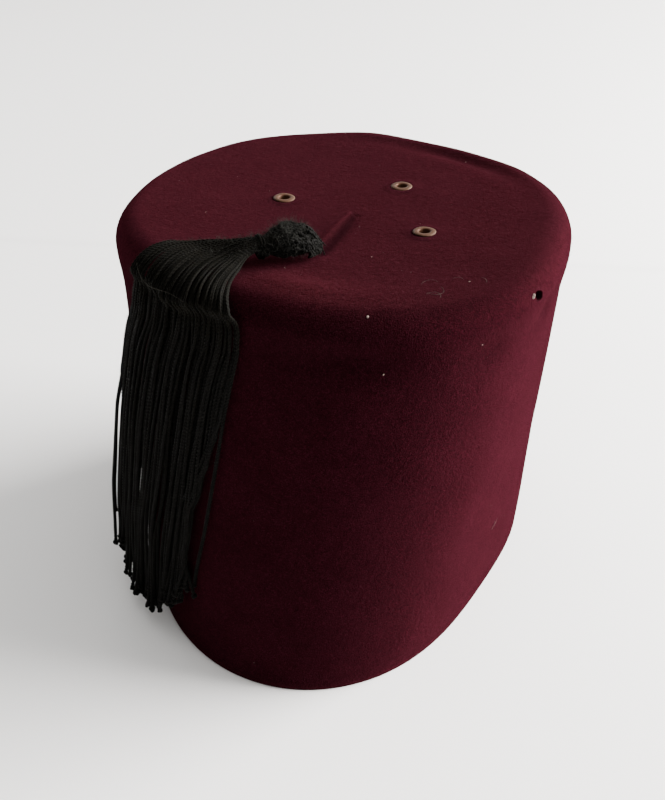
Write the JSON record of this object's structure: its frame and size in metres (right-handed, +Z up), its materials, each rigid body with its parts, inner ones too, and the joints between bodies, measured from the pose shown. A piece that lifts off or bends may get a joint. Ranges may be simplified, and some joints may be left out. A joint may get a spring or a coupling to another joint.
{
  "type": "fez hat",
  "caption": "Tall soft felt cap with a flat crown, an open oval head hollow, metal vent eyelets and a corded tassel that lies over the crown and hangs down its side.",
  "frame": {"origin": "middle of the hat's footprint, on the surface that its open edge rests on", "axes": "+Z up through the crown, Y along the head's long way, the tassel hangs on the -X -Y side"},
  "size_m": [0.1743, 0.2086, 0.1646],
  "materials": {
    "felt": "thick maroon wool felt with a short matt nap",
    "brass": "dull worn brass, rolled and turned over",
    "black_cord": "black two-ply twisted cord with a faint silky shine"
  },
  "bodies": {
    "root": {"felt_body": "felt", "eyelet_left": "brass", "eyelet_back": "brass", "eyelet_right": "brass", "eyelet_front": "brass", "tassel": "black_cord", "tassel_binding": "black_cord"}
  },
  "joints": []
}
